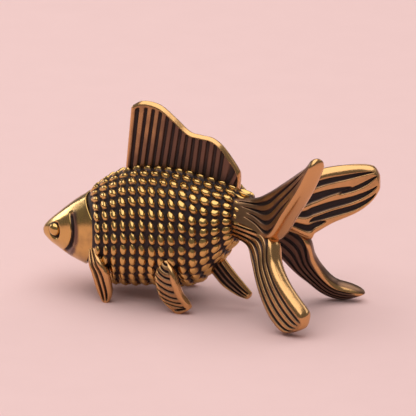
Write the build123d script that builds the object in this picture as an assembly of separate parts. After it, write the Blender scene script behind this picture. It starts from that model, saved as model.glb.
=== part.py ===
from build123d import *
import math
import os

# Fish figurine: head toward -X, left side toward -Y, up +Z, floor at zero, sizes in millimetres.
# While it is built, X is zero where the head meets the trunk on the middle plane.

# Trunk
body_length = 22.5
body_height = 15.8
body_width = 13.4
body_axis_height = 10.15
body_section_count = 12

# Scale field on the trunk
scale_columns = 17
scale_rows = 30
scale_lift = 0.5
scale_start = 0.3
scale_tail_bow = 0.6

# Head, with the hollow back that fits over the trunk's front
head_length = 6.6
head_height = 10.1
head_width = 8.6
head_axis_height = 8.35
gill_reach = 2.8
gill_half_width = 5.0
gill_cover_reach = 3.4
head_facets = 32
head_bands = 11
head_band_crowding = 1.5

# Gill line and eyes
gill_line_width = 0.5
gill_line_depth = 0.4
gill_line_steps = 8
eye_radius = 0.85
eye_ring_width = 0.28
eye_ring_depth = 0.45
eye_stem_radius = 0.5
eye_stem_length = 0.9

# Joints: gaps that the solder fills, pegs and tenons
solder_gap = 0.05
head_peg_radius = 1.5
head_peg_length = 1.7
tail_peg_radius = 1.1
tail_peg_length = 2.2
fin_peg_radius = 0.6
fin_peg_length = 2.4
fin_tenon_depth = 1.4

# Dorsal fin
dorsal_start = 5.35
dorsal_length = 16.95
dorsal_height = 9.6
dorsal_thickness = 1.3
dorsal_ray_count = 15
dorsal_ray_width = 0.42
dorsal_ray_depth = 0.25
dorsal_rim = 0.6
dorsal_ray_lean = 8.0
dorsal_edge_count = 45

# Paired fins under the trunk and the anal fin
pectoral_length = 4.2
pectoral_thickness = 1.1
pectoral_flutes = 3
pelvic_length = 5.0
pelvic_thickness = 1.2
pelvic_ribs = 7
anal_length = 6.6
anal_thickness = 1.2
anal_flutes = 3
fin_section_count = 8

# Tail
tail_length = 16.1
tail_half_span = 9.2
tail_height = 24.8
tail_thickness = 2.5
tail_root_thickness = 2.3
tail_section_count = 11
tail_flutes = 5

# Shares of those sizes, chosen by eye
fin_spread_share = 0.507
pectoral_height_share = 0.67
pelvic_height_share = 0.68
anal_height_share = 0.67
blade_edge_share = 0.5
flute_floor_share = 0.68
rib_slant_share = 0.12
rib_profile_shares = [(0, 0.5), (0.25, 1), (0.75, 1), (1, 1)]
blade_nudge_share = 0.04
tip_thickness_share = 0.75
fin_peg_share = 0.2
dorsal_first_share = 0.9
eye_place_share = -0.65
eye_rise_share = 0.04
eye_look_back = 12.0
scale_crest_share = 0.42
gill_line_shares = [(-0.17, 0.46), (-0.08, 0.13), (-0.36, -0.64)]

# Trunk and head: place along, axis height, half height, half width
body_station_shares = [
    (-0.053, 0.798, 0.494, 0.433),
    (0.000, 0.823, 0.582, 0.552),
    (0.071, 0.853, 0.747, 0.700),
    (0.156, 0.867, 0.905, 0.836),
    (0.311, 0.951, 1.000, 0.978),
    (0.462, 1.000, 1.000, 1.000),
    (0.611, 1.010, 0.994, 0.970),
    (0.747, 1.044, 0.899, 0.851),
    (0.851, 1.143, 0.715, 0.672),
    (0.947, 1.256, 0.487, 0.478),
    (1.000, 1.281, 0.367, 0.373),
]
head_station_shares = [
    (-1.000, 0.857, 0.080, 0.088),
    (-0.973, 0.860, 0.150, 0.167),
    (-0.914, 0.867, 0.228, 0.256),
    (-0.788, 0.881, 0.365, 0.400),
    (-0.635, 0.905, 0.504, 0.542),
    (-0.458, 0.930, 0.663, 0.686),
    (-0.279, 0.956, 0.812, 0.814),
    (0.000, 1.000, 1.000, 1.000),
    (0.242, 1.038, 1.161, 1.128),
    (0.515, 1.061, 1.339, 1.256),
]

# Dorsal fin: place along, height over the back
dorsal_outline_shares = [
    (0.000, 0.000),
    (0.027, 0.536),
    (0.054, 0.867),
    (0.095, 0.955),
    (0.160, 1.000),
    (0.247, 0.994),
    (0.325, 0.946),
    (0.428, 0.814),
    (0.551, 0.645),
    (0.645, 0.614),
    (0.737, 0.598),
    (0.800, 0.545),
    (0.861, 0.450),
    (0.966, 0.215),
    (0.988, 0.110),
]
dorsal_rear_share = 0.980

# Blades, root to tip: front edge along, out and up, then rear edge along, out and up
pectoral_start_share = 0.075
pectoral_shares = [
    (0.10, 0.62, 0.97, 0.36, 0.70, 1.10),
    (0.19, 0.77, 0.735, 0.69, 0.90, 0.862),
    (0.276, 0.79, 0.594, 0.89, 0.91, 0.691),
    (0.362, 0.81, 0.446, 0.98, 0.88, 0.484),
    (0.517, 0.81, 0.159, 1.00, 0.82, 0.222),
    (0.688, 0.78, -0.040, 0.86, 0.78, -0.030),
]
pelvic_left_start_share = 0.560
pelvic_right_start_share = 0.382
pelvic_shares = [
    (0.16, 0.86, 0.98, 0.36, 0.84, 1.04),
    (0.02, 0.95, 0.80, 0.60, 0.97, 0.86),
    (0.03, 0.97, 0.58, 0.70, 0.99, 0.67),
    (0.11, 0.94, 0.35, 0.81, 0.94, 0.42),
    (0.28, 0.88, 0.15, 0.95, 0.88, 0.26),
    (0.60, 0.84, -0.05, 1.01, 0.84, 0.13),
]
anal_start_share = 0.775
anal_shares = [
    (0.00, 0.0, 0.72, 0.24, 0.0, 1.10),
    (0.16, 0.0, 0.54, 0.44, 0.0, 0.86),
    (0.36, 0.0, 0.36, 0.62, 0.0, 0.66),
    (0.66, 0.0, 0.22, 0.84, 0.0, 0.44),
    (0.90, 0.0, 0.17, 0.98, 0.0, 0.30),
]
upper_left_shares = [
    (-0.06, -0.09, 0.186, -0.06, -0.14, -0.017),
    (0.155, -0.12, 0.254, 0.236, -0.31, -0.081),
    (0.342, -0.28, 0.407, 0.415, -0.47, -0.123),
    (0.528, -0.50, 0.600, 0.600, -0.67, 0.210),
    (0.702, -0.73, 0.790, 0.772, -0.86, 0.535),
    (0.820, -0.88, 0.930, 0.890, -0.97, 0.810),
    (0.895, -0.96, 1.035, 0.940, -1.00, 0.985),
]
upper_right_shares = [
    (-0.06, 0.09, 0.186, -0.06, 0.14, -0.017),
    (0.168, 0.14, 0.246, 0.255, 0.28, -0.119),
    (0.379, 0.30, 0.385, 0.478, 0.44, -0.290),
    (0.490, 0.39, 0.475, 0.524, 0.49, -0.222),
    (0.600, 0.50, 0.535, 0.635, 0.64, -0.120),
    (0.739, 0.67, 0.560, 0.820, 0.80, 0.000),
    (0.857, 0.84, 0.555, 0.935, 0.90, 0.130),
    (0.938, 0.92, 0.535, 0.990, 0.96, 0.260),
    (0.985, 0.96, 0.480, 1.005, 0.97, 0.360),
]
lower_left_shares = [
    (-0.06, -0.09, 0.792, -0.06, -0.14, 0.995),
    (0.130, -0.28, 0.735, 0.236, -0.31, 0.937),
    (0.220, -0.48, 0.605, 0.415, -0.47, 0.898),
    (0.302, -0.67, 0.452, 0.465, -0.54, 0.678),
    (0.395, -0.83, 0.300, 0.565, -0.65, 0.534),
    (0.500, -0.93, 0.135, 0.679, -0.76, 0.400),
    (0.625, -0.99, 0.012, 0.790, -0.86, 0.280),
    (0.770, -1.00, 0.022, 0.852, -0.92, 0.190),
]
lower_right_shares = [
    (-0.06, 0.09, 0.792, -0.06, 0.14, 0.995),
    (0.130, 0.24, 0.662, 0.255, 0.28, 0.902),
    (0.236, 0.40, 0.500, 0.478, 0.44, 0.747),
    (0.323, 0.54, 0.338, 0.516, 0.57, 0.520),
    (0.410, 0.67, 0.212, 0.565, 0.69, 0.356),
    (0.516, 0.79, 0.080, 0.640, 0.80, 0.230),
    (0.652, 0.90, 0.014, 0.739, 0.88, 0.180),
    (0.835, 0.97, 0.034, 0.885, 0.96, 0.135),
]


def slope_at(places, values, index):
    # Slope of a smooth curve at one of its points, from the points beside it
    low = max(index - 1, 0)
    high = min(index + 1, len(places) - 1)
    return (values[high] - values[low]) / (places[high] - places[low])


def smooth_between(places, values, place):
    # Value on the smooth curve through hand-chosen points
    right = 1
    while right < len(places) - 1 and places[right] < place:
        right += 1
    left = right - 1
    span = places[right] - places[left]
    step = (place - places[left]) / span
    rise = values[right] - values[left]
    leave = slope_at(places, values, left) * span
    arrive = slope_at(places, values, right) * span
    bend = (leave + arrive - 2 * rise) * step + 3 * rise - 2 * leave - arrive
    return values[left] + step * (leave + step * bend)


def station(table, length, axis_height, height, width, x):
    # Height of the axis, half height and half width of an oval form at one place along it
    places = [row[0] for row in table]
    column = [smooth_between(places, [row[n] for row in table], x / length) for n in (1, 2, 3)]
    return column[0] * axis_height, column[1] * height / 2, column[2] * width / 2


def body_at(x):
    return station(body_station_shares, body_length, body_axis_height, body_height, body_width, x)


def head_at(x):
    return station(head_station_shares, head_length, head_axis_height, head_height, head_width, x)


def back_height(x):
    # Top of the scales on the middle plane
    return body_at(x)[0] + body_at(x)[1] + scale_lift


def oval(x, sizes, grow):
    # Oval face across the length of the fish
    axis, half_height, half_width = sizes
    plane = Plane(origin=(x, 0, axis), x_dir=(0, 1, 0), z_dir=(1, 0, 0))
    return plane * Ellipse(half_width + grow, half_height + grow)


def rod(start, direction, radius, length):
    # Round rod from a point along a direction
    plane = Plane(origin=start, z_dir=direction)
    return extrude(plane * Circle(radius), length)


def faceted_solid(rings):
    # Solid with flat three-sided facets between neighbouring rings and flat ends
    outlines = [rings[0], rings[-1]]
    for near, far in zip(rings, rings[1:]):
        for n in range(len(near)):
            m = (n + 1) % len(near)
            corner = far[n] if n % 2 else far[m]
            outlines.append((near[n], near[m], corner))
            other = near[m] if n % 2 else near[n]
            outlines.append((other, far[m], far[n]))
    return Solid(Shell([Face(Wire.make_polygon(points)) for points in outlines]))


def body_point(x, turn, lift):
    # Point on the trunk, turned from the top toward the right side
    axis, half_height, half_width = body_at(x)
    y = (half_width + lift) * math.sin(turn)
    z = axis + (half_height + lift) * math.cos(turn)
    return (x, y, z)


def scale_ring(column, step_share):
    # One ring round the trunk: a low one between columns, or one with a crest on each scale
    along = (column + step_share) / scale_columns
    bow = gill_reach + (scale_tail_bow - gill_reach) * along
    run = body_length - scale_start - scale_tail_bow
    points = []
    for half_row in range(2 * scale_rows):
        turn = math.pi * half_row / scale_rows
        x = scale_start + run * along + bow * math.sin(turn) ** 2 * (1 - along**4)
        lift = scale_lift * (half_row % 2) if step_share else 0
        points.append(body_point(x, turn, lift))
    return points


def flat_ring(x):
    return [body_point(x, math.pi * n / scale_rows, 0) for n in range(2 * scale_rows)]


def scaled_trunk():
    # The scale field: rings of crests and valleys from the gills to the tail
    rings = [flat_ring(body_station_shares[0][0] * body_length)]
    for column in range(scale_columns):
        rings.append(scale_ring(column, 0))
        rings.append(scale_ring(column, scale_crest_share))
    rings.append(flat_ring(body_length))
    return faceted_solid(rings)


def trunk_envelope(grow):
    # Smooth form that clears the scales, for trimming the roots of the fins
    first = body_station_shares[0][0]
    shares = [first + (1 - first) * n / body_section_count for n in range(body_section_count + 1)]
    return loft([oval(s * body_length, body_at(s * body_length), grow) for s in shares])


def head_ring(x, grow):
    # Points round the head at one place along it
    axis, half_height, half_width = head_at(x)
    turns = [2 * math.pi * n / head_facets for n in range(head_facets)]
    ups = [axis + (half_height + grow) * math.cos(turn) for turn in turns]
    return [(x, (half_width + grow) * math.sin(turn), up) for turn, up in zip(turns, ups)]


def head_form(grow):
    # Round form of the head, or a smaller one inside it that stops short of the snout
    first = head_station_shares[0][0] * head_length
    run = head_station_shares[-1][0] * head_length - first
    places = [first + run * (n / head_bands) ** head_band_crowding for n in range(head_bands + 1)]
    return faceted_solid([head_ring(x, grow) for x in places if min(head_at(x)[1:]) + 2 * grow > 0])


def in_front_of_trunk(gap):
    # Everything ahead of the curved face where head and trunk meet
    far = body_length
    flare = gill_half_width + gill_cover_reach
    side = gill_reach - gap
    back = side + gill_cover_reach
    arc = ThreePointArc((side, -gill_half_width), (-gap, 0), (side, gill_half_width))
    rim = Polyline(
        (side, gill_half_width),
        (back, flare),
        (back, far),
        (-far, far),
        (-far, -far),
        (back, -far),
        (back, -flare),
        (side, -gill_half_width),
    )
    return extrude(make_face([arc, rim]), 2 * far, dir=(0, 0, 1))


def head_peg(gap):
    start = (gill_reach, 0, body_at(0)[0])
    return rod(start, (-1, 0, 0), head_peg_radius + gap, gill_reach + head_peg_length + gap)


def tail_peg(gap):
    start = (body_length - tail_peg_radius, 0, body_at(body_length)[0])
    return rod(start, (1, 0, 0), tail_peg_radius + gap, tail_peg_length + tail_peg_radius + gap)


def gill_line_form():
    # Curved wall that the gill line follows, through the whole head
    points = [
        (s * head_length, head_axis_height + t * head_height / 2) for s, t in gill_line_shares
    ]
    arc = ThreePointArc(*points)
    bends = Polyline(*[arc @ (n / gill_line_steps) for n in range(gill_line_steps + 1)])
    line = offset(bends, gill_line_width / 2, kind=Kind.INTERSECTION, side=Side.BOTH)
    return extrude(Plane.XZ * make_face(line.edges()), body_width, both=True)


def eye_plane(side):
    # Floor of one eye socket on the flank of the head, facing out
    x = eye_place_share * head_length
    axis, half_height, half_width = head_at(x)
    wedge = math.atan2(head_at(0)[2] - half_width, -x) - math.radians(eye_look_back)
    out = (-math.sin(wedge), side * math.cos(wedge), 0)
    surface = Plane(origin=(x, side * half_width, axis + eye_rise_share * head_height), z_dir=out)
    return surface.offset(-eye_ring_depth)


def eye_socket(side):
    seat = eye_plane(side)
    well = extrude(seat * Circle(eye_radius + eye_ring_width), head_width)
    return well + extrude(seat * Circle(eye_stem_radius + solder_gap), -eye_stem_length - solder_gap)


def eye(side):
    # Bead on a stem, its flat back on the floor of the socket
    seat = eye_plane(side)
    keep = extrude(seat * Circle(2 * eye_radius), 2 * eye_radius)
    bead = (seat * Sphere(eye_radius)) & keep
    return bead + extrude(seat * Circle(eye_stem_radius), -eye_stem_length)


def head():
    # Round shell with the gill line cut to an inner form of the same shape
    solid = head_form(0) - gill_line_form() + head_form(-gill_line_depth)
    solid = solid & in_front_of_trunk(solder_gap)
    return solid - head_peg(solder_gap) - eye_socket(-1) - eye_socket(1)


def dorsal_outline(depth):
    # Side view of the dorsal fin, its foot sunk into the trunk
    base = back_height(dorsal_start)
    rear_x = dorsal_start + dorsal_rear_share * dorsal_length
    corners = [
        (dorsal_start + s * dorsal_length, base + t * dorsal_height, 0) for s, t in dorsal_outline_shares
    ]
    corners.append((rear_x, back_height(rear_x), 0))
    points = [along_edge(corners, n / dorsal_edge_count) for n in range(dorsal_edge_count + 1)]
    middle = dorsal_start + dorsal_length / 2
    front_foot = (dorsal_start, base - depth)
    rear_foot = (rear_x - depth, back_height(rear_x) - depth)
    foot = ThreePointArc(rear_foot, (middle, back_height(middle) - depth), front_foot)
    sides = [Line(points[-1], rear_foot), Line(front_foot, points[0])]
    return make_face([Polyline(*points), foot, *sides])


def dorsal_top(x):
    # Height of the fin's upper edge at one place along it
    places = [row[0] for row in dorsal_outline_shares]
    values = [row[1] for row in dorsal_outline_shares]
    share = smooth_between(places, values, (x - dorsal_start) / dorsal_length)
    return back_height(dorsal_start) + share * dorsal_height


def dorsal_groove(ray):
    # Slanting groove between two rays, from the back to just under the rim
    foot_x = dorsal_start + (ray + dorsal_first_share) * dorsal_length / (dorsal_ray_count + 1)
    slope = math.tan(math.radians(dorsal_ray_lean))
    top_x = foot_x + slope * (dorsal_top(foot_x) - back_height(foot_x))
    top_z = dorsal_top(top_x) - dorsal_rim
    foot_z = back_height(foot_x) - scale_lift
    half = dorsal_ray_width / 2
    foot = [(foot_x - half, foot_z), (foot_x + half, foot_z)]
    top = [(top_x + half, top_z), (top_x - half, top_z)]
    return make_face(Polyline(*foot, *top, close=True))


def dorsal_fin():
    # Thin core with the rim and the rays standing proud on both sides
    half = dorsal_thickness / 2
    outline = dorsal_outline(fin_tenon_depth)
    raised = outline - [dorsal_groove(ray) for ray in range(dorsal_ray_count)]
    core = extrude(Plane.XZ * outline, half - dorsal_ray_depth, both=True)
    return core + extrude(Plane.XZ * raised, half, both=True)


def dorsal_slot():
    outline = Plane.XZ * dorsal_outline(fin_tenon_depth + solder_gap)
    return extrude(outline, dorsal_thickness / 2 + solder_gap, both=True)


def edge_points(table, start, length, spread, height, base=0):
    # Front edge and rear edge of a blade, row by row from its root to its tip
    fronts = [(start + r[0] * length, r[1] * spread, base + r[2] * height) for r in table]
    rears = [(start + r[3] * length, r[4] * spread, base + r[5] * height) for r in table]
    return fronts, rears


def along_edge(points, share):
    # Point on the smooth edge through those points
    places = [n / (len(points) - 1) for n in range(len(points))]
    return Vector(*[smooth_between(places, [p[n] for p in points], share) for n in range(3)])


def fluted_profile(flutes, rear_edge):
    # Thickness across a blade: crests between grooves, thin front edge, blunt or thin rear edge
    profile = [(0, blade_edge_share)]
    for step in range(1, 2 * flutes):
        profile.append((step / (2 * flutes), 1 if step % 2 else flute_floor_share))
    profile.append((1, rear_edge))
    return profile


def blade_middle(edges, front_share, rear_share):
    # Point halfway between the two edges of a blade
    return (along_edge(edges[0], front_share) + along_edge(edges[1], rear_share)) / 2


def blade_ring(edges, front_share, rear_share, half, profile):
    # Closed outline across a blade, from its front edge to its rear edge and back
    front = along_edge(edges[0], front_share)
    rear = along_edge(edges[1], rear_share)
    nudge = blade_nudge_share
    ahead = blade_middle(edges, min(front_share + nudge, 1), min(rear_share + nudge, 1))
    behind = blade_middle(edges, max(front_share - nudge, 0), max(rear_share - nudge, 0))
    normal = (ahead - behind).cross(rear - front).normalized()
    outer = [front + (rear - front) * u + normal * (half * t) for u, t in profile]
    inner = [front + (rear - front) * u - normal * (half * t) for u, t in reversed(profile)]
    return outer + inner


def fluted_blade(edges, count, root_thickness, thickness, profile):
    # Thick blade with grooves along it, thinner toward its tip
    rings = []
    for stop in range(count + 1):
        share = stop / count
        thick = root_thickness + (thickness - root_thickness) * min(2 * share, 1)
        thick *= 1 - (1 - tip_thickness_share) * share**6
        rings.append(blade_ring(edges, share, share, thick / 2, profile))
    return faceted_solid(rings)


def ribbed_blade(edges, ribs, thickness):
    # Blade with slanting ribs across it and a stout rear edge
    rings = []
    for stop in range(2 * ribs + 1):
        share = stop / (2 * ribs)
        rear_share = share + rib_slant_share * math.sin(math.pi * share)
        half = thickness / 2 * (1 if stop % 2 else flute_floor_share)
        rings.append(blade_ring(edges, share, rear_share, half, rib_profile_shares))
    return faceted_solid(rings)


def above_floor():
    far = 4 * body_length
    return Pos(0, 0, far / 2) * Box(far, far, far)


def fin_edges(table, start_share, length, side, height_share):
    # Edges of a fin under the trunk, on one side or on the middle plane
    spread = side * fin_spread_share * body_width
    return edge_points(table, start_share * body_length, length, spread, height_share * body_axis_height)


def pectoral_edges(side):
    return fin_edges(pectoral_shares, pectoral_start_share, pectoral_length, side, pectoral_height_share)


def pelvic_edges(side):
    # The right one stands further forward than the left one
    start = pelvic_right_start_share if side > 0 else pelvic_left_start_share
    return fin_edges(pelvic_shares, start, pelvic_length, side, pelvic_height_share)


def anal_edges():
    return fin_edges(anal_shares, anal_start_share, anal_length, 1, anal_height_share)


def fin_peg(edges, gap):
    # Peg from inside the blade's root into the trunk
    root = blade_middle(edges, fin_peg_share, fin_peg_share)
    inward = Vector(root.X, 0, body_at(root.X)[0]) - root
    return rod(root, inward, fin_peg_radius + gap, fin_peg_length + gap)


def seated(fin, edges):
    # Fin trimmed to clear the scales and the head, with its peg and its flat foot
    head_room = head_form(solder_gap) & in_front_of_trunk(0)
    solid = fin - trunk_envelope(scale_lift + solder_gap) - head_room
    return (solid + fin_peg(edges, 0)) & above_floor()


def pectoral_fin(side):
    edges = pectoral_edges(side)
    profile = fluted_profile(pectoral_flutes, blade_edge_share)
    thick = pectoral_thickness
    return seated(fluted_blade(edges, fin_section_count, thick, thick, profile), edges)


def pelvic_fin(side):
    edges = pelvic_edges(side)
    return seated(ribbed_blade(edges, pelvic_ribs, pelvic_thickness), edges)


def anal_fin():
    edges = anal_edges()
    profile = fluted_profile(anal_flutes, blade_edge_share)
    return seated(fluted_blade(edges, fin_section_count, anal_thickness, anal_thickness, profile), edges)


def upper_lobe(table):
    base = body_at(body_length)[0]
    edges = edge_points(table, body_length, tail_length, tail_half_span, tail_height - base, base)
    return tail_blade(edges)


def lower_lobe(table):
    base = body_at(body_length)[0]
    return tail_blade(edge_points(table, body_length, tail_length, tail_half_span, base))


def tail_blade(edges):
    profile = fluted_profile(tail_flutes, 1)
    return fluted_blade(edges, tail_section_count, tail_root_thickness, tail_thickness, profile)


def tail_side(side):
    # Room for one side of the tail, behind the trunk and off the middle plane
    far = 4 * body_length
    room = Box(far, far, far, align=(Align.MIN, Align.MIN, Align.CENTER))
    room = Pos(body_length + solder_gap, solder_gap / 2, 0) * room
    return room if side > 0 else mirror(room, about=Plane.XZ)


def largest(cut):
    # Main part of a cut form, without the slivers left behind the tool
    return cut.solids().sort_by(SortBy.VOLUME)[-1]


def tail_pair(upper_table, lower_table, side):
    # Upper and lower lobe of one side, the lower one fitted under the upper one
    upper = upper_lobe(upper_table) & tail_side(side)
    lower = largest((lower_lobe(lower_table) & tail_side(side)) - upper)
    hole = tail_peg(solder_gap)
    return upper - hole, (lower - hole) & above_floor()


def body():
    solid = scaled_trunk() - in_front_of_trunk(0)
    holes = [dorsal_slot(), fin_peg(anal_edges(), solder_gap)]
    for side in (-1, 1):
        holes += [fin_peg(edges, solder_gap) for edges in (pectoral_edges(side), pelvic_edges(side))]
    return solid - holes + head_peg(0) + tail_peg(0)


def all_pieces():
    pieces = {"body": body(), "head": head(), "eye_left": eye(-1), "eye_right": eye(1)}
    pieces["dorsal_fin"] = dorsal_fin()
    pieces["anal_fin"] = anal_fin()
    for side, word in ((-1, "left"), (1, "right")):
        pieces["pectoral_fin_" + word] = pectoral_fin(side)
        pieces["pelvic_fin_" + word] = pelvic_fin(side)
    left = tail_pair(upper_left_shares, lower_left_shares, -1)
    right = tail_pair(upper_right_shares, lower_right_shares, 1)
    pieces["tail_lobe_upper_left"], pieces["tail_lobe_lower_left"] = left
    pieces["tail_lobe_upper_right"], pieces["tail_lobe_lower_right"] = right
    return pieces


def write_pieces(pieces):
    # The whole fish stands on the floor, centred on the origin
    box = Compound(list(pieces.values())).bounding_box()
    centre = Pos(-box.center().X, -box.center().Y, -box.min.Z)
    os.makedirs("parts", exist_ok=True)
    for name, piece in pieces.items():
        export_step(centre * piece, os.path.join("parts", name + ".step"))


write_pieces(all_pieces())
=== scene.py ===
import math

import bpy
import numpy as np
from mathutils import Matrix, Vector


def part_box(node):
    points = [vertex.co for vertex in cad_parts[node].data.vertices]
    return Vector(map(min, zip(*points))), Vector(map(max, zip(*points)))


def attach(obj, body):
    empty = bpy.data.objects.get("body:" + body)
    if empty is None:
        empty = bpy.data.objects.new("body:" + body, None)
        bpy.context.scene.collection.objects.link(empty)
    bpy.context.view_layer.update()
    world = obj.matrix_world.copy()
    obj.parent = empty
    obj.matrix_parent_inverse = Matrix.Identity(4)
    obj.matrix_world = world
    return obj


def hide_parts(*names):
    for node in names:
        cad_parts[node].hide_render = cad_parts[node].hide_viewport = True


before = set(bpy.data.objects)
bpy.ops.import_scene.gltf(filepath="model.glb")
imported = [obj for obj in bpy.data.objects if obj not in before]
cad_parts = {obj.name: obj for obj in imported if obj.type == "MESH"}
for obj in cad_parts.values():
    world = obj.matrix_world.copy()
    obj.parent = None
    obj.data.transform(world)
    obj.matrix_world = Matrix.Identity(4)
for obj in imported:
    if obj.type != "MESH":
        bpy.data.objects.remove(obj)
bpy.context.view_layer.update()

# Fish figurine, in millimetres of the part's own design frame, moved to the shared frame at the end
millimetre = 0.001
tiny = 1e-6

# Trunk
body_length = 22.5
body_height = 15.8
body_width = 13.4
body_axis_height = 10.15
neck_tuck = 0.7
trunk_end_dome = 0.5
trunk_end_rings = 6
trunk_end_wear = 0.5

# Scales: their field on the trunk
scale_columns = 15
scale_rows = 30
scale_full_columns = 9
scale_samples = 13
scale_start = 0.3
scale_overrun = 1.0
scale_tail_bow = 0.6
scale_bow_power = 4

# Scales: the form of one, in shares of its place in the field, and its chances
scale_lift = 0.5
scale_half_length = 0.36
scale_half_width = 0.52
scale_stretch = 0.06
scale_stretch_power = 3
scale_taper = 0.62
scale_squareness = 2.4
scale_roundness = 0.48
scale_lean_down = 0.6
scale_lean_back = 0.2
scale_seed = 7
scale_jitter = 0.03
scale_tilt = 0.15

# Scales: larger on the back, slanted on the belly and toward the tail
scale_crown_growth = 0.08
scale_crown_fill = 4
scale_crown_span = (0.1, 0.4)
scale_skew = 0.34
scale_tail_skew = 0.6
scale_belly_skew = 0.7
scale_belly_span = (0.55, 0.9)
scale_wear = 0.92
scale_wear_span = (0.05, 0.6)

# Head
head_length = 6.6
head_height = 10.1
head_width = 8.6
head_axis_height = 8.35
head_ring_count = 110
head_turn_count = 300
head_crowding = 1.5
head_wear = 0.8
gill_reach = 2.8
gill_half_width = 5.0
rim_steps = 20
lip_thickness = 0.4
lip_depth = 0.6
lip_rings = 6
lip_first_share = 0.15
lip_bulge_share = 0.5
snout_dome = 0.16
snout_ring_shares = [0.12, 0.35, 0.6, 0.82, 0.95]

# Gill line: three points along and up, its section, and a painted reflection behind it: a duller strip
# that stands in for the backdrop's purple-grey reflection on the slope
gill_line_shares = [(-0.22, 0.46), (-0.13, 0.15), (-0.40, -0.60)]
gill_line_depth = 0.46
gill_front_width = 0.2
gill_back_width = 0.75
gill_end_fade = 0.12
gill_dark_span = (0.05, 0.9)
gill_painted_strip_end = 1.5
gill_strip_painted_reflection = 0.3

# Eyes
eye_radius = 0.88
eye_ring_width = 0.2
eye_ring_depth = 0.4
eye_ring_dark = 0.85
eye_ring_fade = (-0.12, 0.06)
eye_bevel = 0.35
eye_bulge_share = 0.75
eye_place_share = -0.65
eye_rise_share = 0.04
eye_look_back = 12.0
eye_turn_count = 48
eye_stem_shares = [(0.55, -0.6), (0.55, -0.02), (0.97, 0.0)]
eye_dome_turns = (0.06, 1.5)
eye_dome_rings = 22
eye_wear_span = (-0.05, 0.35)

# Dorsal fin
dorsal_start = 5.35
dorsal_length = 16.95
dorsal_height = 9.6
dorsal_thickness = 1.3
dorsal_foot_depth = 1.0
dorsal_rear_share = 0.980
dorsal_front_corner = 2
dorsal_outline_count = 800
dorsal_ring_count = 260
dorsal_rise_count = 90
dorsal_settle_span = (0, 0.12)
dorsal_pull_span = (0.82, 1.0)
dorsal_round_share = 0.8
dorsal_least_share = 0.02

# Dorsal fin: rays, grooves and rim
dorsal_ray_count = 15
dorsal_ray_lean = 8.0
dorsal_first_share = 0.9
dorsal_groove_depth = 0.3
dorsal_groove_width = 0.5
dorsal_groove_shares = (0.22, 0.62)
dorsal_rim = 0.42
dorsal_rim_shares = (0.7, 1.2)
dorsal_stop_shares = (0.75, 1.25)
dorsal_stop_span = (2, 6)

# Dorsal fin: wear of the rays, which fades toward the rear and the foot
dorsal_ray_wear = 0.68
dorsal_rear_dullness = 0.22
dorsal_rear_span = (2, 8)
dorsal_foot_dullness = 0.12
dorsal_foot_span = (0.15, 0.6)
dorsal_groove_dark = 0.8
dorsal_rear_fading = 0.3

# Fins under the trunk
fin_spread_share = 0.507
fin_tip_share = 0.05
pectoral_length = 4.2
pectoral_thickness = 1.1
pectoral_height_share = 0.67
pectoral_start_share = 0.075
pelvic_length = 5.0
pelvic_thickness = 1.2
pelvic_height_share = 0.68
pelvic_start_shares = {"left": 0.560, "right": 0.382}
anal_length = 6.6
anal_thickness = 1.2
anal_height_share = 0.67
anal_start_share = 0.775

# Tail
tail_length = 16.1
tail_half_span = 9.2
tail_height = 24.8
tail_thickness = 2.5
tail_edge_depth = {"upper": 0.9, "lower": 1.1}
tail_edge_power = {"upper": 2.5, "lower": 2.1}
tail_edge_share = 0.45
tail_front_share = 0.85
tail_swell_share = 0.25
tail_tip_shares = {"upper": 0.1, "lower": 0.14}
notch_row = 2
notch_fade = 0.12

# All blades: steps, rounded edges and carving
blade_row_count = 140
blade_steps = 120
blade_strip_shares = [0.25, 0.5, 0.75]
blade_thinnest = 0.03
edge_crowding = 1.6
edge_power = 2
edge_round_share = 0.9
edge_least_share = 0.01
tip_cut_share = 0.99
groove_depth = 0.33

# All blades: reach of the wear from the edges
margin_span = (0.35, 0.7)
corner_span = (0.45, 0.8)
rear_face_span = (0.1, 0.35)
tip_wear_length = 16
free_least_share = 0.05

# Grooves along a blade: how many, the first and last across it, the last at its root, and how wide
flute_shares = {
    "pectoral": (2, 0.36, 0.66, 0.66, 0.4),
    "anal": (3, 0.25, 0.75, 0.75, 0.4),
    "lower": (4, 0.2, 0.72, 0.93, 0.3),
}
flute_root_span = (0.2, 0.4)
flute_end_span = (0.86, 0.95)
flute_core_share = 0.2

# Ribs of the pelvic fins, and the slit near their tips
barb_count = 9
barb_slant = 0.2
barb_reach_share = 0.74
barb_groove_span = (0.05, 0.24)
barb_end_span = (0.72, 0.78)
barb_front_span = (0.03, 0.08)
barb_rear_span = (0.7, 0.76)
slit_place_share = 0.89
slit_slant = 0.03
slit_span = (0.008, 0.026)
slit_front_span = (0.2, 0.35)
slit_rear_span = (0.7, 0.8)

# Long hollows of the upper lobes: start and end along, start and end across, half width
upper_hollow_shares = {
    "left": [
        (0.05, 0.90, 0.16, 0.30, 0.050),
        (0.08, 0.80, 0.34, 0.52, 0.055),
        (0.12, 0.60, 0.52, 0.72, 0.050),
        (0.10, 0.42, 0.70, 0.84, 0.040),
    ],
    "right": [
        (0.08, 0.88, 0.11, 0.20, 0.062),
        (0.08, 0.64, 0.26, 0.42, 0.088),
        (0.56, 0.92, 0.48, 0.36, 0.060),
        (0.08, 0.86, 0.46, 0.72, 0.080),
        (0.30, 0.82, 0.69, 0.88, 0.066),
        (0.08, 0.46, 0.64, 0.86, 0.070),
    ],
}
hollow_bow = 0.03
hollow_wall_span = (0.45, 1.05)
hollow_end_span = (0, 0.12)
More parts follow.
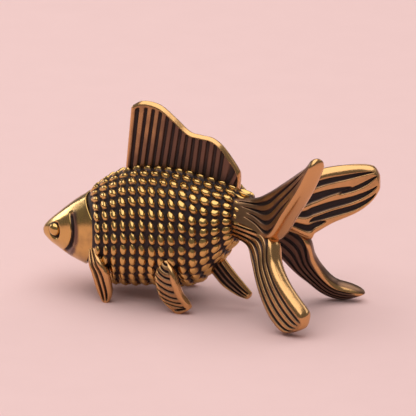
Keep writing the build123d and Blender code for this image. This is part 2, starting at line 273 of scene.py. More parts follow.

# Wear of the blades: ridges, front margin, rear corner, rear face, and the darkness of the grooves; the
# far lower lobe's low rear face is painted shade
finish_shares = {
    "pectoral": (0.95, 1.0, 1.0, 1.0, 0.8),
    "pelvic": (0.7, 1.0, 1.0, 1.0, 0.9),
    "anal": (0.6, 1.0, 1.0, 1.0, 1.0),
    "upper_left": (0.62, 0.55, 0.95, 0.95, 1.0),
    "upper_right": (0.8, 1.0, 0.92, 0.92, 1.0),
    "lower_left": (0.75, 0.7, 1.0, 1.0, 0.9),
    # Painted shade: the far lower lobe's rear face is dulled to brown patina so that it reads dark under
    # the lamps
    "lower_right": (0.44, 0.44, 0.95, 0.55, 1.0),
}

# Trunk and head: place along, axis height, half height, half width
body_station_shares = [
    (-0.053, 0.798, 0.494, 0.433),
    (0.000, 0.823, 0.582, 0.552),
    (0.071, 0.853, 0.747, 0.700),
    (0.156, 0.867, 0.905, 0.836),
    (0.311, 0.951, 1.000, 0.978),
    (0.462, 1.000, 1.000, 1.000),
    (0.611, 1.010, 0.994, 0.970),
    (0.747, 1.044, 0.899, 0.851),
    (0.851, 1.143, 0.715, 0.672),
    (0.947, 1.256, 0.487, 0.478),
    (1.000, 1.281, 0.367, 0.373),
]
head_station_shares = [
    (-1.000, 0.857, 0.080, 0.088),
    (-0.973, 0.860, 0.150, 0.167),
    (-0.914, 0.867, 0.228, 0.256),
    (-0.788, 0.881, 0.365, 0.400),
    (-0.635, 0.905, 0.504, 0.542),
    (-0.458, 0.930, 0.663, 0.686),
    (-0.279, 0.956, 0.812, 0.814),
    (0.000, 1.000, 1.000, 1.000),
    (0.242, 1.038, 1.161, 1.128),
    (0.515, 1.061, 1.339, 1.256),
]

# Dorsal fin: place along, height over the back
dorsal_outline_shares = [
    (0.000, 0.000),
    (0.027, 0.536),
    (0.054, 0.867),
    (0.095, 0.955),
    (0.160, 1.000),
    (0.247, 0.994),
    (0.325, 0.946),
    (0.428, 0.814),
    (0.551, 0.645),
    (0.645, 0.614),
    (0.737, 0.598),
    (0.800, 0.545),
    (0.861, 0.450),
    (0.966, 0.215),
    (0.988, 0.110),
]

# Blades, root to tip: front edge along, out and up, then rear edge along, out and up
pectoral_shares = [
    (0.10, 0.62, 0.97, 0.36, 0.70, 1.10),
    (0.19, 0.77, 0.735, 0.69, 0.90, 0.862),
    (0.276, 0.79, 0.594, 0.89, 0.91, 0.691),
    (0.362, 0.81, 0.446, 0.98, 0.88, 0.484),
    (0.517, 0.81, 0.159, 1.00, 0.82, 0.222),
    (0.688, 0.78, -0.040, 0.86, 0.78, -0.030),
]
pelvic_shares = [
    (0.16, 0.86, 0.98, 0.36, 0.84, 1.04),
    (0.02, 0.95, 0.80, 0.60, 0.97, 0.86),
    (0.03, 0.97, 0.58, 0.70, 0.99, 0.67),
    (0.11, 0.94, 0.35, 0.81, 0.94, 0.42),
    (0.28, 0.88, 0.15, 0.95, 0.88, 0.26),
    (0.60, 0.84, -0.05, 1.01, 0.84, 0.13),
]
anal_shares = [
    (0.00, 0.0, 0.72, 0.24, 0.0, 1.10),
    (0.16, 0.0, 0.54, 0.44, 0.0, 0.86),
    (0.36, 0.0, 0.36, 0.62, 0.0, 0.66),
    (0.66, 0.0, 0.22, 0.84, 0.0, 0.44),
    (0.90, 0.0, 0.17, 0.98, 0.0, 0.30),
]
upper_lobe_shares = {
    "left": [
        (-0.06, -0.09, 0.225, -0.06, -0.14, -0.017),
        (0.155, -0.12, 0.254, 0.236, -0.31, -0.081),
        (0.342, -0.28, 0.407, 0.415, -0.47, -0.123),
        (0.528, -0.50, 0.600, 0.600, -0.67, 0.210),
        (0.702, -0.73, 0.790, 0.772, -0.86, 0.535),
        (0.820, -0.88, 0.930, 0.890, -0.97, 0.810),
        (0.880, -0.95, 1.065, 0.955, -1.00, 1.010),
    ],
    "right": [
        (-0.06, 0.09, 0.150, -0.06, 0.14, -0.017),
        (0.168, 0.14, 0.190, 0.255, 0.28, -0.119),
        (0.379, 0.30, 0.385, 0.478, 0.44, -0.290),
        (0.490, 0.39, 0.475, 0.524, 0.49, -0.222),
        (0.600, 0.50, 0.535, 0.635, 0.64, -0.120),
        (0.739, 0.67, 0.560, 0.820, 0.80, 0.000),
        (0.857, 0.84, 0.555, 0.935, 0.90, 0.130),
        (0.938, 0.92, 0.535, 0.990, 0.96, 0.260),
        (0.985, 0.96, 0.480, 1.005, 0.97, 0.360),
    ],
}
lower_lobe_shares = {
    "left": [
        (-0.06, -0.09, 0.792, -0.06, -0.14, 0.995),
        (0.130, -0.28, 0.735, 0.236, -0.31, 0.937),
        (0.220, -0.48, 0.605, 0.415, -0.47, 0.898),
        (0.294, -0.64, 0.445, 0.485, -0.61, 0.700),
        (0.372, -0.75, 0.290, 0.585, -0.75, 0.545),
        (0.474, -0.84, 0.128, 0.700, -0.85, 0.411),
        (0.600, -0.90, 0.020, 0.808, -0.92, 0.290),
        (0.750, -0.93, 0.040, 0.858, -0.95, 0.196),
    ],
    "right": [
        (-0.06, 0.09, 0.792, -0.06, 0.14, 0.995),
        (0.130, 0.24, 0.662, 0.255, 0.28, 0.902),
        (0.236, 0.40, 0.500, 0.478, 0.44, 0.747),
        (0.323, 0.54, 0.338, 0.516, 0.57, 0.520),
        (0.410, 0.67, 0.212, 0.565, 0.69, 0.356),
        (0.516, 0.79, 0.080, 0.640, 0.80, 0.230),
        (0.652, 0.90, 0.014, 0.739, 0.88, 0.180),
        (0.835, 0.97, 0.034, 0.885, 0.96, 0.135),
    ],
}

# Brass: dark patina in the low places, brown patina on the way up, worn metal on the high ones
yellow_brass = (0.66, 0.41, 0.14)
red_brass = (0.64, 0.36, 0.15)
dark_patina = (0.03, 0.017, 0.016)
brown_patina = (0.16, 0.087, 0.06)
patina_levels = (0.15, 0.5, 0.85)
patina_metallic = (0.4, 0.9, 1.0)
patina_roughness = (0.35, 0.12, 0.0)
cloud_scale = 420.0
cloud_detail = 5.0
grain_scale = 2600.0
grain_detail = 3.0
grain_roughness = 0.1
grain_strength = 0.25
grain_height = 0.00003

# Brass by slot: roughness, unevenness of the patina, colour where worn
brass_finishes = {
    "antique_brass": (0.19, 0.35, yellow_brass),
    "polished_brass": (0.18, 0.6, yellow_brass),
    "eye_brass": (0.16, 0.1, yellow_brass),
    "fin_brass": (0.22, 0.25, red_brass),
    "tail_brass": (0.22, 0.25, red_brass),
}

# Floor, in metres
floor_half_width = 3.0
paper_dark = (0.83, 0.575, 0.565, 1)
paper_light = (0.86, 0.60, 0.59, 1)
paper_scale = 180.0
paper_detail = 4.0
paper_roughness = 0.9
paper_specular = 0.1

# View of the photograph: target and width in millimetres, distance in metres, angles in degrees
view_target = (17.4, -0.04, 13.236)
view_width = 55.47
view_distance = 2.0
view_turn = 24.0
view_rise = 18.0
sensor_width = 36.0

# Studio light: place, target, width and height in metres, power in watts
world_colour = (1.0, 0.97, 0.96, 1)
world_strength = 0.19
lamp_colour = (1.0, 0.98, 0.95)
lamps = {
    "key": ((-0.1, 0.0, 0.5), (-0.1, 0.0, 0), (0.8, 1.0), 4.25),
    "front": ((-1.81, 0.73, 0.42), (0, 0, 0), (0.8, 0.26), 2.9),
    "back": ((1.0, 1.72, 0.93), (0, 0, 0), (1.4, 0.5), 3.0),
}


def smooth(places, values, place):
    # Smooth curve through listed points, at one place or at many
    places = np.asarray(places, float)
    values = np.asarray(values, float)
    place = np.asarray(place, float)
    low = np.maximum(np.arange(len(places)) - 1, 0)
    high = np.minimum(np.arange(len(places)) + 1, len(places) - 1)
    slopes = ((values[high] - values[low]).T / (places[high] - places[low])).T
    right = np.clip(np.searchsorted(places, place), 1, len(places) - 1)
    left = right - 1
    span = places[right] - places[left]
    step = (place - places[left]) / span
    if values.ndim > 1:
        span = span[..., None]
        step = step[..., None]
    rise = values[right] - values[left]
    leave = slopes[left] * span
    arrive = slopes[right] * span
    bend = (leave + arrive - 2 * rise) * step + 3 * rise - 2 * leave - arrive
    return values[left] + step * (leave + step * bend)


def ramp(low, high, value):
    # Soft step from zero at low to one at high
    share = np.clip((value - low) / (high - low), 0, 1)
    return share * share * (3 - 2 * share)


def between(low_span, high_span, value):
    # One between two soft steps, zero outside them
    return ramp(*low_span, value) * (1 - ramp(*high_span, value))


def crowded(count):
    # Steps from zero to one that crowd toward one
    return 1 - (1 - np.linspace(0, 1, count)) ** edge_crowding


def full_turn(count):
    return 2 * np.pi * np.arange(count) / count


def station(table, length, axis_height, height, width, x):
    # Height of the axis, half height and half width of an oval form at places along it
    places = [row[0] for row in table]
    columns = smooth(places, [row[1:] for row in table], np.asarray(x) / length)
    return columns[..., 0] * axis_height, columns[..., 1] * height / 2, columns[..., 2] * width / 2


def body_at(x):
    return station(body_station_shares, body_length, body_axis_height, body_height, body_width, x)


def head_at(x):
    return station(head_station_shares, head_length, head_axis_height, head_height, head_width, x)


def back_height(x):
    axis, half_height, half_width = body_at(x)
    return axis + half_height + scale_lift


def placed(points):
    # Design frame in millimetres to the shared frame in metres
    head_low, head_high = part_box("head")
    body_low, body_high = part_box("body")
    shift = (head_low.x + head_length * millimetre, (body_low.y + body_high.y) / 2, 0)
    return points * millimetre + np.array(shift)


def ring_faces(rows, count):
    # Four-sided faces between neighbouring rings, and fans over both ends
    row, step = np.meshgrid(np.arange(rows - 1), np.arange(count), indexing="ij")
    here = row * count + step
    beside = row * count + (step + 1) % count
    quads = np.stack([here, beside, beside + count, here + count], -1).reshape(-1, 4)
    first = rows * count
    step = np.arange(count)
    beside = (step + 1) % count
    low_fan = np.stack([beside, step, np.full(count, first)], -1)
    base = (rows - 1) * count
    high_fan = np.stack([base + step, base + beside, np.full(count, first + 1)], -1)
    return quads.tolist() + low_fan.tolist() + high_fan.tolist()


def volume(points, faces):
    # Signed volume, which is negative where the faces point inward
    total = 0.0
    for corners in (3, 4):
        face = np.array([f for f in faces if len(f) == corners])
        first = points[face[:, 0]]
        for n in range(1, corners - 1):
            total += np.einsum("ij,ij->", first, np.cross(points[face[:, n]], points[face[:, n + 1]]))
    return total


def ring_piece(name, node, slot, rings, relief):
    # Closed piece made of rings, with its relief kept for the patina
    rows, count = relief.shape
    points = np.concatenate([rings.reshape(-1, 3), [rings[0].mean(0), rings[-1].mean(0)]])
    faces = ring_faces(rows, count)
    if volume(points, faces) < 0:
        faces = [face[::-1] for face in faces]
    mesh = bpy.data.meshes.new(name)
    mesh.from_pydata(placed(points).tolist(), [], faces)
    mesh.shade_smooth()
    values = np.concatenate([relief.ravel(), [relief[0].mean(), relief[-1].mean()]])
    layer = mesh.attributes.new("relief", "FLOAT", "POINT")
    layer.data.foreach_set("value", values.astype(np.float32))
    mesh.materials.append(brass[slot])
    piece = bpy.data.objects.new(name, mesh)
    bpy.context.scene.collection.objects.link(piece)
    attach(piece, "root")
    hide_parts(node)


def scale_kernel(along, turn):
    # Height share of the scales: rounded shields, narrow above and drawn out backward below
    side = np.minimum(turn, 2 * np.pi - turn)
    place = along * scale_columns
    column = np.clip(np.floor(place), 0, scale_columns - 1).astype(int)
    side_rows = scale_rows // 2 - np.maximum(column - scale_full_columns, 0)
    height = side * side_rows / np.pi
    row = np.clip(np.floor(height), 0, side_rows - 1).astype(int)
    side_number = (turn > np.pi).astype(int)
    chance = np.random.default_rng(scale_seed)
    spread = chance.uniform(-1, 1, (6, 2, scale_columns, scale_rows // 2))
    move_back, move_down, grow_back, grow_down, tip_back, tip_down = spread[:, side_number, column, row]
    crown = scale_crown_growth * (1 - ramp(*scale_crown_span, side / np.pi))
    half_length = scale_half_length + scale_stretch * np.clip(along, 0, 1) ** scale_stretch_power + crown
    back = (place - column - 0.5 - scale_jitter * move_back) / (half_length + scale_jitter * grow_back)
    down = (height - row - 0.5 - scale_jitter * move_down) / (scale_half_width + scale_jitter * grow_down)
    beak = 1 - (scale_taper - scale_crown_fill * crown) * np.clip(-down, 0, 1) ** 2
    belly = ramp(*scale_belly_span, side / np.pi)
    skew = scale_skew * (1 + scale_tail_skew * along + scale_belly_skew * belly)
    back = (back - skew * down) / beak
    reach = np.abs(back) ** scale_squareness + np.abs(down) ** scale_squareness
    dome = np.clip(1 - reach, 0, 1) ** scale_roundness
    lean_back = scale_lean_back + scale_tilt * tip_back
    lean_down = scale_lean_down + scale_tilt * tip_down
    lean = 1 + lean_back * np.clip(back, -1, 1) + lean_down * np.clip(down, -1, 1)
    return dome * lean * (along >= 0) * (along <= 1)


def trunk():
    # Trunk with its scale field, from under the head's rim to the root of the tail
    columns = scale_columns * scale_samples
    along = np.arange(-scale_samples, columns + 1) / columns
    along, turn = np.meshgrid(along, full_turn(scale_rows * scale_samples), indexing="ij")
    bow = gill_reach + (scale_tail_bow - gill_reach) * along
    bow = bow * np.sin(turn) ** 2 * (1 - along**scale_bow_power)
    end_x = body_length + scale_overrun
    x = scale_start + (end_x - scale_start) * along + bow
    kernel = scale_kernel(along, turn)
    axis, half_height, half_width = body_at(x)
    lift = scale_lift * kernel - neck_tuck * ramp(0, 1 / scale_columns, -along)
    y = (half_width + lift) * np.sin(turn)
    z = axis + (half_height + lift) * np.cos(turn)
    field = np.stack([x, y, z], -1)
    worn = scale_wear * ramp(*scale_wear_span, kernel)
    middle = np.array([end_x, 0, axis[-1, 0]])
    end = []
    for turn_in in np.linspace(0, 1, trunk_end_rings + 2)[1:-1] * math.pi / 2:
        ring = middle + (field[-1] - middle) * math.cos(turn_in)
        end.append(ring + np.array([trunk_end_dome * math.sin(turn_in), 0, 0]))
    rings = np.concatenate([field, end])
    relief = np.concatenate([worn, np.full((trunk_end_rings, worn.shape[1]), trunk_end_wear)])
    ring_piece("trunk", "body", "antique_brass", rings, relief)


def rim_place(turn):
    # Where the head's surface meets the curved front of the trunk
    radius = (gill_half_width**2 + gill_reach**2) / (2 * gill_reach)
    x = np.zeros_like(turn)
    for _ in range(rim_steps):
        out = np.abs(head_at(x)[2] * np.sin(turn))
        inside = np.minimum(out, gill_half_width)
        arc = radius - np.sqrt(radius**2 - inside**2)
        x = arc + np.maximum(out - gill_half_width, 0)
    return x


def gill_line():
    # Centre and radius of the gill line's arc in the side view, and the turn of its two ends
    (ax, az), (bx, bz), (cx, cz) = [
        (s * head_length, head_axis_height + t * head_height / 2) for s, t in gill_line_shares
    ]
    matrix = np.array([[bx - ax, bz - az], [cx - ax, cz - az]])
    rest = np.array([bx**2 - ax**2 + bz**2 - az**2, cx**2 - ax**2 + cz**2 - az**2]) / 2
    centre = np.linalg.solve(matrix, rest)
    radius = math.hypot(ax - centre[0], az - centre[1])
    ends = [math.atan2(z - centre[1], x - centre[0]) for x, z in ((ax, az), (cx, cz))]
    return centre, radius, ends


def gill_depth(x, z):
    # Depth share of the gill line, steep in front and sloping out behind, and the mask of the painted
    # reflection behind it, a duller strip
    centre, radius, (top, bottom) = gill_line()
    angle = np.arctan2(z - centre[1], x - centre[0])
    behind = np.hypot(x - centre[0], z - centre[1]) - radius
    fade = gill_end_fade
    span = between((bottom - fade, bottom + fade), (top - fade, top + fade), angle)
    line = between((-gill_front_width, 0), (0, gill_back_width), behind)
    # Mask of the painted reflection: a duller strip behind the slope of the gill line
    strip = between((0, gill_back_width), (gill_back_width, gill_painted_strip_end), behind)
    return line * span, strip * span


def eye_seat(side):
    # Middle of an eye socket's mouth and the direction that it faces
    x = eye_place_share * head_length
    axis, half_height, half_width = head_at(x)
    wedge = math.atan2(head_at(0)[2] - half_width, -x) - math.radians(eye_look_back)
    out = np.array([-math.sin(wedge), side * math.cos(wedge), 0])
    return np.array([x, side * half_width, axis + eye_rise_share * head_height]), out


def sink_eye(points, side):
    # Points sunk into an eye socket, and the wear left round it
    seat, out = eye_seat(side)
    away = points - seat
    rise = away @ out
    reach = np.linalg.norm(away - rise[..., None] * out, axis=-1)
    near = rise > -2 * eye_radius
    rim = eye_radius + eye_ring_width
    well = (1 - ramp(rim - eye_bevel / 2, rim + eye_bevel, reach)) * near
    sunk = points + (np.minimum(-eye_ring_depth - rise, 0) * well)[..., None] * out
    dark_from, dark_to = eye_ring_fade
    return sunk, 1 - eye_ring_dark * (1 - ramp(rim + dark_from, rim + dark_to, reach)) * near


def lip(edge, normal):
    # Rings of the rounded lip at the head's rear edge, turned in over the trunk, and their wear
    rings = []
    wear = []
    for turn_in in np.linspace(lip_first_share, 1, lip_rings) * math.pi / 2:
        inward = lip_thickness * (1 - math.cos(turn_in))
        back = lip_thickness * lip_bulge_share * math.sin(turn_in)
        rings.append(edge - normal * inward + np.array([back, 0, 0]))
        wear.append(np.full(head_turn_count, 1 - turn_in / math.pi))
    rings.append(edge - normal * (lip_thickness + lip_depth) - np.array([lip_depth, 0, 0]))
    wear.append(np.zeros(head_turn_count))
    return rings, wear


def snout(ring):
    # Rings of the small dome over the head's front end
    middle = ring.mean(0)
    return [
        middle + (ring - middle) * size - np.array([snout_dome * (1 - size**2), 0, 0])
        for size in snout_ring_shares
    ]


def head():
    # Smooth cap with its gill lines, eye sockets and a rounded lip over the trunk
    share = np.linspace(0, 1, head_ring_count) ** head_crowding
    share, turn = np.meshgrid(share, full_turn(head_turn_count), indexing="ij")
    x = -head_length + (rim_place(turn) + head_length) * share
    axis, half_height, half_width = head_at(x)
    normal = np.stack([np.zeros_like(x), np.sin(turn), np.cos(turn)], -1)
    points = np.stack([x, half_width * np.sin(turn), axis + half_height * np.cos(turn)], -1)
    gill, strip = gill_depth(x, points[..., 2])
    # The strip behind the gill line is painted reflection: lower relief there dulls the brass to stand in
    # for the backdrop's purple-grey reflection. The gill line itself is dark patina in its groove.
    relief = (head_wear - gill_strip_painted_reflection * strip) * (1 - ramp(*gill_dark_span, gill))
    points -= normal * (gill_line_depth * gill)[..., None]
    for side in (-1, 1):
        points, wear = sink_eye(points, side)
        relief = relief * wear
    lip_points, lip_wear = lip(points[-1], normal[-1])
    dome = snout(points[0])
    rings = np.concatenate([dome, points, lip_points])
    relief = np.concatenate([[relief[0]] * len(dome), relief, lip_wear])
    ring_piece("head_cap", "head", "polished_brass", rings, relief)


def eye(side, word):
    # Bead turned about the direction that the eye faces, on a stem in the socket
    seat, out = eye_seat(side)
    floor_point = seat - out * eye_ring_depth
    up = np.array([0, 0, 1.0])
    ahead = np.cross(up, out)
    turns = full_turn(eye_turn_count)
    circle = np.outer(np.cos(turns), ahead) + np.outer(np.sin(turns), up)
    dome_turns = np.linspace(*eye_dome_turns, eye_dome_rings)
    profile = eye_stem_shares + [(math.cos(t), eye_bulge_share * math.sin(t)) for t in dome_turns]
    rings = [floor_point + eye_radius * (radius * circle + lift * out) for radius, lift in profile]
    relief = np.repeat([[ramp(*eye_wear_span, lift)] for radius, lift in profile], eye_turn_count, 1)
    ring_piece("eye_bead_" + word, "eye_" + word, "eye_brass", np.array(rings), relief)


def dorsal_edges():
    # Foot and top of the dorsal fin, as pairs of points joined by leaning rays
    corners = np.array(dorsal_outline_shares)
    rear_x = dorsal_start + dorsal_rear_share * dorsal_length
    top_x = dorsal_start + corners[:, 0] * dorsal_length
    top_z = back_height(dorsal_start) + corners[:, 1] * dorsal_height
    outline = np.concatenate([np.stack([top_x, top_z], -1), [[rear_x, back_height(rear_x)]]])
    places = np.arange(len(outline))
    fine = smooth(places, outline, np.linspace(dorsal_front_corner, places[-1], dorsal_outline_count))
    marks = np.arange(dorsal_outline_count)
    share = np.linspace(0, 1, dorsal_ring_count)
    foot_x = dorsal_start + (rear_x - dorsal_start) * share
    foot_z = back_height(foot_x) - dorsal_foot_depth
    rising = np.maximum.accumulate(fine[:, 0]) + marks * tiny
    height = np.interp(foot_x, rising, fine[:, 1]) - foot_z
    first_lean = rising[0] - dorsal_start
    lean = math.tan(math.radians(dorsal_ray_lean)) * height
    wanted = foot_x + first_lean + (lean - first_lean) * ramp(*dorsal_settle_span, share)
    mark = np.interp(wanted, rising, marks)
    even = np.linspace(0, dorsal_outline_count - 1, dorsal_ring_count)
    mark = np.maximum.accumulate(mark + (even - mark) * ramp(*dorsal_pull_span, share))
    top = np.stack([np.interp(mark, marks, fine[:, n]) for n in (0, 1)], -1)
    return np.stack([foot_x, foot_z], -1), top


def dorsal_groove(front, height):
    # Depth share of the grooves between the rays, which stop below the rim
    pitch = dorsal_length / (dorsal_ray_count + 1)
    phase = front / pitch - dorsal_first_share
    nearest = np.clip(np.round(phase), 0, dorsal_ray_count - 1)
    core, wall = dorsal_groove_shares
    off = np.abs(phase - nearest) * pitch
    groove = 1 - ramp(dorsal_groove_width * core, dorsal_groove_width * wall, off)
    stop = dorsal_rim * (2 - ramp(*dorsal_stop_span, front))
    low, high = dorsal_stop_shares
    return groove * ramp(stop * low, stop * high, height)


def dorsal_wear(front, edge, rise, groove):
    # Wear of the rays, the rim and the grooves
    low, high = dorsal_rim_shares
    rim = 1 - ramp(dorsal_rim * low, dorsal_rim * high, edge)
    at_foot = 1 - ramp(*dorsal_foot_span, rise)
    at_rear = ramp(*dorsal_rear_span, front)
    ray = dorsal_ray_wear - dorsal_rear_dullness * at_rear - dorsal_foot_dullness * at_foot
    dark = dorsal_groove_dark - dorsal_rear_fading * at_rear
    return (ray + (1 - ray) * rim) * (1 - groove * dark)


def dorsal_fin():
    # Ribbed blade on the back: rings from its front edge to its rear edge
    foot, top = dorsal_edges()
    rise = crowded(dorsal_rise_count)[None, :]
    sheet = foot[:, None] + (top - foot)[:, None] * rise[..., None]
    height = np.linalg.norm(top - foot, axis=-1)[:, None] * (1 - rise)
    front = (foot[:, 0] - foot[0, 0])[:, None] + 0 * height
    rear = (foot[-1, 0] - foot[:, 0])[:, None] + 0 * height
    edge = np.minimum(np.minimum(height, front), rear)
    groove = dorsal_groove(front, height)
    half = dorsal_thickness / 2
    round_share = np.clip(edge / (half * dorsal_round_share), dorsal_least_share, 1)
    face = half * np.sqrt(1 - (1 - round_share) ** 2) - dorsal_groove_depth * groove
    relief = dorsal_wear(front, edge, rise, groove)
    left, right = [np.stack([sheet[..., 0], side * face, sheet[..., 1]], -1) for side in (-1, 1)]
    rings = np.concatenate([left, right[:, -2::-1]], 1)
    values = np.concatenate([relief, relief[:, -2::-1]], 1)
    ring_piece("dorsal_blade", "dorsal_fin", "fin_brass", rings, values)


def edge_points(table, start, length, spread, height, base=0):
    # Front edge and rear edge of a blade, row by row from its root to its tip
    rows = np.array(table)
    size = np.array([length, spread, height])
    origin = np.array([start, 0, base])
    return origin + rows[:, :3] * size, origin + rows[:, 3:] * size


def fin_edges(table, start_share, length, side, height_share):
    spread = side * fin_spread_share * body_width
    return edge_points(table, start_share * body_length, length, spread, height_share * body_axis_height)


def blade_spine(edges, tip_share):
    # Places along a blade, its front and rear edges, its normal, and how they close at its tip
    places = np.linspace(0, 1, len(edges[0]))
    along = crowded(blade_row_count)
    front, rear = [smooth(places, edge, along) for edge in edges]
    middle = (front + rear) / 2
    normal = np.cross(np.gradient(middle, axis=0), rear - front)
    normal /= np.linalg.norm(normal, axis=-1)[:, None]
    tip = np.clip((along - 1 + tip_share) / tip_share, 0, tip_cut_share)
    close = np.sqrt(1 - tip**2)[:, None]
    front = middle + (front - middle) * close
    rear = middle + (rear - middle) * close
    return along[:, None], front, rear, normal, close


def blade_half(across, width, half, free, tail_row):
    # Half thickness across a blade: rounded at the front edge, and at the rear edge where that is free
    depth = half * edge_round_share
    power = edge_power
    if tail_row:
        half = half * (tail_front_share + tail_swell_share * across)
        depth = np.minimum(tail_edge_depth[tail_row], width * tail_edge_share)
        power = tail_edge_power[tail_row]
    front_share = np.clip(across * width / (half * edge_round_share), edge_least_share, 1)
    rear_share = np.clip((1 - across) * width / depth, 0, 1)
    nose = (1 - (1 - rear_share) ** power) ** (1 / power)
    return half * np.sqrt(1 - (1 - front_share) ** 2) * (1 + (nose - 1) * free)


def blade_wear(across, along, width, free, groove, finish):
    # Wear of a blade from its ridges to its edges, and its dark grooves; a low rear face value is painted
    # shade
    ridge, front_margin, corner, rear_face, groove_dark = finish_shares[finish]
    behind = (1 - across) * width
    relief = ridge + (front_margin - ridge) * (1 - ramp(*margin_span, across * width))
    edge = np.minimum(behind / free.clip(free_least_share), (1 - along) * tip_wear_length)
    relief = relief + (corner - relief) * (1 - ramp(*corner_span, edge))
    # Rear face: worn metal on most blades, painted shade on the far lower lobe, whose value dulls it
    relief = relief + (rear_face - relief) * (1 - ramp(*rear_face_span, behind)) * free
    return relief * (1 - groove_dark * groove)


def blade(name, node, slot, edges, thickness, carve, finish, tail_row=None):
    # Thick blade from its root to a rounded tip, carved on both faces; tail lobes meet before their notch
    tip_share = tail_tip_shares[tail_row] if tail_row else fin_tip_share
    along, front, rear, normal, close = blade_spine(edges, tip_share)
    across = (1 - np.cos(np.pi * np.arange(blade_steps + 1) / blade_steps))[None, :] / 2
    width = np.linalg.norm(rear - front, axis=-1)[:, None]
    free = np.ones_like(along)
    if tail_row:
        notch = notch_row / (len(edges[0]) - 1)
        free = ramp(notch - notch_fade, notch, along)
    groove = carve(across, along)
    face = blade_half(across, width, thickness / 2 * close, free, tail_row)
    face = np.maximum(face - groove_depth * groove * close, blade_thinnest * close)
    sheet = front[:, None] + (rear - front)[:, None] * across[..., None]
    outer = sheet + normal[:, None] * face[..., None]
    inner = sheet - normal[:, None] * face[..., None]
    relief = blade_wear(across, along, width, free, groove, finish)
    strip = [outer[:, -1] + (inner[:, -1] - outer[:, -1]) * share for share in blade_strip_shares]
    rings = np.concatenate([outer, np.stack(strip, 1), inner[:, ::-1]], 1)
    rings[..., 2] = np.maximum(rings[..., 2], 0)
    values = np.concatenate([relief, np.repeat(relief[:, -1:], len(strip), 1), relief[:, ::-1]], 1)
    ring_piece(name, node, slot, rings, values)


def flutes(kind):
    # Lengthwise grooves, evenly placed from one place across the blade to another
    count, first, last, root_last, wide = flute_shares[kind]

    def carve(across, along):
        reach = root_last + (last - root_last) * ramp(*flute_root_span, along) - first
        phase = (across - first) / reach * (count - 1)
        off = np.abs(phase - np.clip(np.round(phase), 0, count - 1))
        groove = 1 - ramp(flute_core_share * wide, wide, off)
        return groove * (1 - ramp(*flute_end_span, along))
    return carve


def hollows(word):
    # Long pointed hollows, each with its own start, end and width
    def carve(across, along):
        deepest = 0 * (across + along)
        for start, end, first, last, half_width in upper_hollow_shares[word]:
            step = np.clip((along - start) / (end - start), 0, 1)
            swell = np.sin(np.pi * step)
            middle = first + (last - first) * step + hollow_bow * swell
            off = np.abs(across - middle) / (half_width * np.sqrt(swell.clip(tiny)))
            hollow = (1 - ramp(*hollow_wall_span, off)) * ramp(*hollow_end_span, swell)
            deepest = np.maximum(deepest, hollow)
        return deepest
    return carve


def barbs(across, along):
    # Scalloped ribs from the front margin to a plain rib along the rear edge, and a slit near the tip
    scallop = np.sin(np.pi / 2 * np.clip(across / barb_reach_share, 0, 1))
    phase = (along - barb_slant * scallop) * barb_count
    off = np.abs(phase - np.round(phase))
    groove = (1 - ramp(*barb_groove_span, off)) * (1 - ramp(*barb_end_span, along - barb_slant * across))
    groove = groove * between(barb_front_span, barb_rear_span, across)
    slit = 1 - ramp(*slit_span, np.abs(along - slit_place_share - slit_slant * across))
    slit = slit * between(slit_front_span, slit_rear_span, across)
    return np.maximum(groove, slit)


def pectoral_fin(side, word):
    edges = fin_edges(pectoral_shares, pectoral_start_share, pectoral_length, side, pectoral_height_share)
    name = "pectoral_blade_" + word
    node = "pectoral_fin_" + word
    blade(name, node, "fin_brass", edges, pectoral_thickness, flutes("pectoral"), "pectoral")


def pelvic_fin(side, word):
    edges = fin_edges(pelvic_shares, pelvic_start_shares[word], pelvic_length, side, pelvic_height_share)
    name = "pelvic_blade_" + word
    node = "pelvic_fin_" + word
    blade(name, node, "fin_brass", edges, pelvic_thickness, barbs, "pelvic")


def anal_fin():
    edges = fin_edges(anal_shares, anal_start_share, anal_length, 1, anal_height_share)
    blade("anal_blade", "anal_fin", "fin_brass", edges, anal_thickness, flutes("anal"), "anal")


def upper_lobe(word):
    joint = float(body_at(body_length)[0])
    rise = tail_height - joint
    edges = edge_points(upper_lobe_shares[word], body_length, tail_length, tail_half_span, rise, joint)
    name = "upper_lobe_" + word
    node = "tail_lobe_upper_" + word
    blade(name, node, "tail_brass", edges, tail_thickness, hollows(word), "upper_" + word, "upper")


def lower_lobe(word):
    joint = float(body_at(body_length)[0])
    edges = edge_points(lower_lobe_shares[word], body_length, tail_length, tail_half_span, joint)
    name = "lower_lobe_" + word
    node = "tail_lobe_lower_" + word
    blade(name, node, "tail_brass", edges, tail_thickness, flutes("lower"), "lower_" + word, "lower")


def add_node(tree, kind, inputs, **settings):
    # New shader node with its settings and its inputs, which are values or other nodes' sockets
    node = tree.nodes.new(kind)
    for key, value in settings.items():
        setattr(node, key, value)
    for key, value in inputs.items():
        if isinstance(value, bpy.types.NodeSocket):
            tree.links.new(value, node.inputs[key])
        else:
            node.inputs[key].default_value = value
    return node


def noise(tree, scale, detail):
    # Noise that is fixed to the piece
    place = add_node(tree, "ShaderNodeTexCoord", {}).outputs["Object"]
    inputs = {"Vector": place, "Scale": scale, "Detail": detail}
    return add_node(tree, "ShaderNodeTexNoise", inputs).outputs["Fac"]


def maths(tree, operation, *values):
    return add_node(tree, "ShaderNodeMath", dict(enumerate(values)), operation=operation).outputs[0]


def stepped(tree, level, colours):
    # Colour that goes smoothly through one step for each level of the patina
    node = add_node(tree, "ShaderNodeValToRGB", {"Fac": level})
    node.color_ramp.interpolation = "EASE"
    spots = node.color_ramp.elements
    while len(spots) < len(colours):
        spots.new(0.5)
    for spot, place, colour in zip(spots, patina_levels, colours):
        spot.position = place
        spot.color = (*colour, 1)
    return node.outputs["Color"]


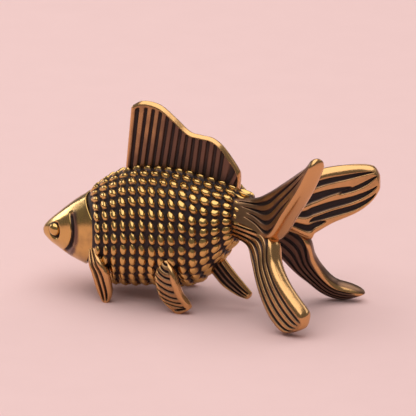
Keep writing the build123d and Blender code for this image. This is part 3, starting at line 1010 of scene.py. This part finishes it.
def antique_metal(name, rough, clouding, bright):
    # Brass whose relief goes from dark patina over brown patina to worn bright metal
    material = bpy.data.materials.new(name)
    material.use_nodes = True
    tree = material.node_tree
    shader = tree.nodes["Principled BSDF"]
    relief = add_node(tree, "ShaderNodeAttribute", {}, attribute_name="relief").outputs["Fac"]
    clouds = noise(tree, cloud_scale, cloud_detail)
    grain = noise(tree, grain_scale, grain_detail)
    ragged = maths(tree, "MULTIPLY_ADD", clouds, clouding, -clouding / 2)
    level = maths(tree, "ADD", relief, ragged)
    colour = stepped(tree, level, (dark_patina, brown_patina, bright))
    metallic = stepped(tree, level, [(value,) * 3 for value in patina_metallic])
    dullness = stepped(tree, level, [(value,) * 3 for value in patina_roughness])
    polish = maths(tree, "MULTIPLY_ADD", grain, grain_roughness, rough - grain_roughness / 2)
    roughness = maths(tree, "ADD", dullness, polish)
    inputs = {"Height": grain, "Strength": grain_strength, "Distance": grain_height}
    bump = add_node(tree, "ShaderNodeBump", inputs).outputs["Normal"]
    tree.links.new(colour, shader.inputs["Base Color"])
    tree.links.new(roughness, shader.inputs["Roughness"])
    tree.links.new(metallic, shader.inputs["Metallic"])
    tree.links.new(bump, shader.inputs["Normal"])
    return material


def floor_paper():
    # Pale paper with a faint tooth
    material = bpy.data.materials.new("floor_paper")
    material.use_nodes = True
    tree = material.node_tree
    shader = tree.nodes["Principled BSDF"]
    tooth = noise(tree, paper_scale, paper_detail)
    mix = add_node(tree, "ShaderNodeMix", {}, data_type="RGBA")
    tree.links.new(tooth, mix.inputs["Factor"])
    dark_input, light_input = [socket for socket in mix.inputs if socket.type == "RGBA"]
    dark_input.default_value = paper_dark
    light_input.default_value = paper_light
    result = next(socket for socket in mix.outputs if socket.type == "RGBA")
    tree.links.new(result, shader.inputs["Base Color"])
    shader.inputs["Roughness"].default_value = paper_roughness
    shader.inputs["Specular IOR Level"].default_value = paper_specular
    return material


def floor():
    half = floor_half_width
    corners = [(-half, -half, 0), (half, -half, 0), (half, half, 0), (-half, half, 0)]
    mesh = bpy.data.meshes.new("floor")
    mesh.from_pydata(corners, [], [(0, 1, 2, 3)])
    mesh.materials.append(floor_paper())
    plane = bpy.data.objects.new("floor", mesh)
    bpy.context.scene.collection.objects.link(plane)


def camera():
    # Camera with a long lens, placed from afar on the photograph's line of sight
    turn = math.radians(view_turn)
    rise = math.radians(view_rise)
    flat = math.cos(rise)
    back = Vector((math.sin(turn) * flat, -math.cos(turn) * flat, math.sin(rise)))
    data = bpy.data.cameras.new("camera")
    data.sensor_width = sensor_width
    data.lens = sensor_width * view_distance / (view_width * millimetre)
    view = bpy.data.objects.new("camera", data)
    view.location = Vector(placed(np.array(view_target))) + back * view_distance
    view.rotation_euler = back.to_track_quat("Z", "Y").to_euler()
    bpy.context.scene.collection.objects.link(view)
    bpy.context.scene.camera = view


def soft_lamp(name, place, target, size, power):
    # Rectangular soft light that faces a target
    data = bpy.data.lights.new(name, "AREA")
    data.shape = "RECTANGLE"
    data.size, data.size_y = size
    data.energy = power
    data.color = lamp_colour
    lamp = bpy.data.objects.new(name, data)
    lamp.location = place
    aim = Vector(place) - Vector(target)
    lamp.rotation_euler = aim.to_track_quat("Z", "Y").to_euler()
    bpy.context.scene.collection.objects.link(lamp)


def light():
    world = bpy.data.worlds.new("studio")
    world.use_nodes = True
    bpy.context.scene.world = world
    background = world.node_tree.nodes["Background"]
    background.inputs["Color"].default_value = world_colour
    background.inputs["Strength"].default_value = world_strength
    for name, settings in lamps.items():
        soft_lamp(name, *settings)
    bpy.context.scene.view_settings.view_transform = "Standard"


def fish():
    sides = ((-1, "left"), (1, "right"))
    trunk()
    head()
    for side, word in sides:
        eye(side, word)
    dorsal_fin()
    for side, word in sides:
        pectoral_fin(side, word)
        pelvic_fin(side, word)
    anal_fin()
    for side, word in sides:
        upper_lobe(word)
        lower_lobe(word)


brass = {slot: antique_metal(slot, *finish) for slot, finish in brass_finishes.items()}
fish()
floor()
camera()
light()
